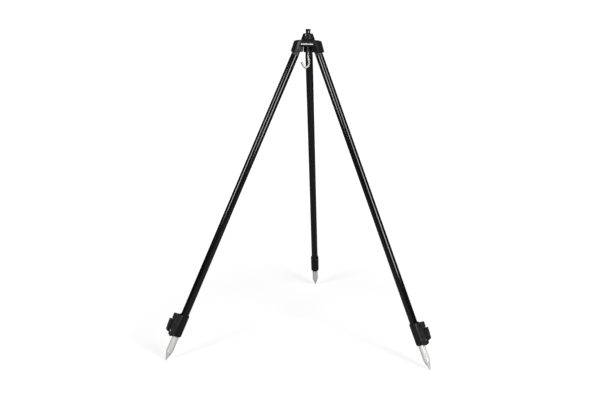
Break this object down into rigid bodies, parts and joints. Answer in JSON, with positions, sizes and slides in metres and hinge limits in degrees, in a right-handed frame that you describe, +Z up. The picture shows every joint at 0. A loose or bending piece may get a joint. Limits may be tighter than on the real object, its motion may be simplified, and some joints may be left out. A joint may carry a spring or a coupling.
{
  "type": "field tripod with hook",
  "caption": "Free-standing field tripod: one moulded head with a swivel hook, folding telescopic legs with cam-lever locks and ground spikes.",
  "frame": {"origin": "on the ground under the head's axis, midway between the three spikes", "axes": "+Z up along the head's axis, -Y towards the side with the blank label, -X the way the hook opens; the rear leg stands towards +Y"},
  "size_m": [0.9108, 0.7934, 1.134],
  "materials": {
    "moulding": "satin black moulded nylon, fine texture",
    "enamel": "gloss black enamel on aluminium tube",
    "anodised": "silver anodised, satin",
    "turned_steel": "turned, lightly brushed",
    "stainless": "polished stainless rod",
    "fastener": "black oxide",
    "nylon": "black nylon bearing",
    "rubber": "hard brake rubber",
    "label": "printed white"
  },
  "bodies": {
    "root": {"head_body": "moulding", "top_boss": "moulding", "boss_screw": "turned_steel", "hook_bush": "nylon", "label_plate": "label", "pivot_bolt_rear": "fastener", "pivot_nut_rear": "fastener", "pivot_bolt_left": "fastener", "pivot_nut_left": "fastener", "pivot_bolt_right": "fastener", "pivot_nut_right": "fastener"},
    "hook_swivel": {"hook": "stainless", "hook_nut": "moulding", "nut_pin": "turned_steel", "hook_washer": "fastener", "hook_lock_nut": "fastener"},
    "upper_leg_rear": {"leg_knuckle_rear": "moulding", "upper_tube_rear": "enamel", "clamp_body_rear": "moulding", "lever_pin_rear": "turned_steel", "clamp_screw_rear": "fastener", "clamp_nut_rear": "fastener"},
    "lower_leg_rear": {"lower_tube_rear": "anodised", "spike_rear": "turned_steel", "guide_bush_rear": "nylon"},
    "lever_rear": {"clamp_lever_rear": "moulding"},
    "brake_rear": {"brake_pad_rear": "rubber"},
    "upper_leg_left": {"leg_knuckle_left": "moulding", "upper_tube_left": "enamel", "clamp_body_left": "moulding", "lever_pin_left": "turned_steel", "clamp_screw_left": "fastener", "clamp_nut_left": "fastener"},
    "lower_leg_left": {"lower_tube_left": "anodised", "spike_left": "turned_steel", "guide_bush_left": "nylon"},
    "lever_left": {"clamp_lever_left": "moulding"},
    "brake_left": {"brake_pad_left": "rubber"},
    "upper_leg_right": {"leg_knuckle_right": "moulding", "upper_tube_right": "enamel", "clamp_body_right": "moulding", "lever_pin_right": "turned_steel", "clamp_screw_right": "fastener", "clamp_nut_right": "fastener"},
    "lower_leg_right": {"lower_tube_right": "anodised", "spike_right": "turned_steel", "guide_bush_right": "nylon"},
    "lever_right": {"clamp_lever_right": "moulding"},
    "brake_right": {"brake_pad_right": "rubber"}
  },
  "joints": [
    {"name": "hook_turn", "type": "hinge", "parent": "root", "child": "hook_swivel", "pos_m": [0, 0, 1.1192], "axis": [0, 0, 1], "continuous": true},
    {"name": "leg_fold_rear", "type": "hinge", "parent": "root", "child": "upper_leg_rear", "pos_m": [0, 0.04, 1.06401], "axis": [-1, 0, 0], "range_deg": [0, 24.52]},
    {"name": "leg_slide_rear", "type": "slide", "parent": "upper_leg_rear", "child": "lower_leg_rear", "axis": [0, 0.415, -0.9098], "range_m": [-0.045, 0.8]},
    {"name": "lever_open_rear", "type": "hinge", "parent": "upper_leg_rear", "child": "lever_rear", "pos_m": [0, 0.50849, 0.11165], "axis": [-1, 0, 0], "range_deg": [0, 80]},
    {"name": "brake_release_rear", "type": "slide", "parent": "upper_leg_rear", "child": "brake_rear", "axis": [0, 0.9098, 0.415], "range_m": [0, 0.0006]},
    {"name": "leg_fold_left", "type": "hinge", "parent": "root", "child": "upper_leg_left", "pos_m": [-0.03464, -0.02, 1.06401], "axis": [0.5, -0.866, 0], "range_deg": [0, 24.52]},
    {"name": "leg_slide_left", "type": "slide", "parent": "upper_leg_left", "child": "lower_leg_left", "axis": [-0.3594, -0.2075, -0.9098], "range_m": [-0.045, 0.8]},
    {"name": "lever_open_left", "type": "hinge", "parent": "upper_leg_left", "child": "lever_left", "pos_m": [-0.44037, -0.25424, 0.11165], "axis": [0.5, -0.866, 0], "range_deg": [0, 80]},
    {"name": "brake_release_left", "type": "slide", "parent": "upper_leg_left", "child": "brake_left", "axis": [-0.7879, -0.4549, 0.415], "range_m": [0, 0.0006]},
    {"name": "leg_fold_right", "type": "hinge", "parent": "root", "child": "upper_leg_right", "pos_m": [0.03464, -0.02, 1.06401], "axis": [0.5, 0.866, 0], "range_deg": [0, 24.52]},
    {"name": "leg_slide_right", "type": "slide", "parent": "upper_leg_right", "child": "lower_leg_right", "axis": [0.3594, -0.2075, -0.9098], "range_m": [-0.045, 0.8]},
    {"name": "lever_open_right", "type": "hinge", "parent": "upper_leg_right", "child": "lever_right", "pos_m": [0.44037, -0.25424, 0.11165], "axis": [0.5, 0.866, 0], "range_deg": [0, 80]},
    {"name": "brake_release_right", "type": "slide", "parent": "upper_leg_right", "child": "brake_right", "axis": [0.7879, -0.4549, 0.415], "range_m": [0, 0.0006]}
  ],
  "couplings": [
    {"joint": "brake_release_rear", "follows": "lever_open_rear", "m_per_rad": 0.0004},
    {"joint": "brake_release_left", "follows": "lever_open_left", "m_per_rad": 0.0004},
    {"joint": "brake_release_right", "follows": "lever_open_right", "m_per_rad": 0.0004}
  ]
}
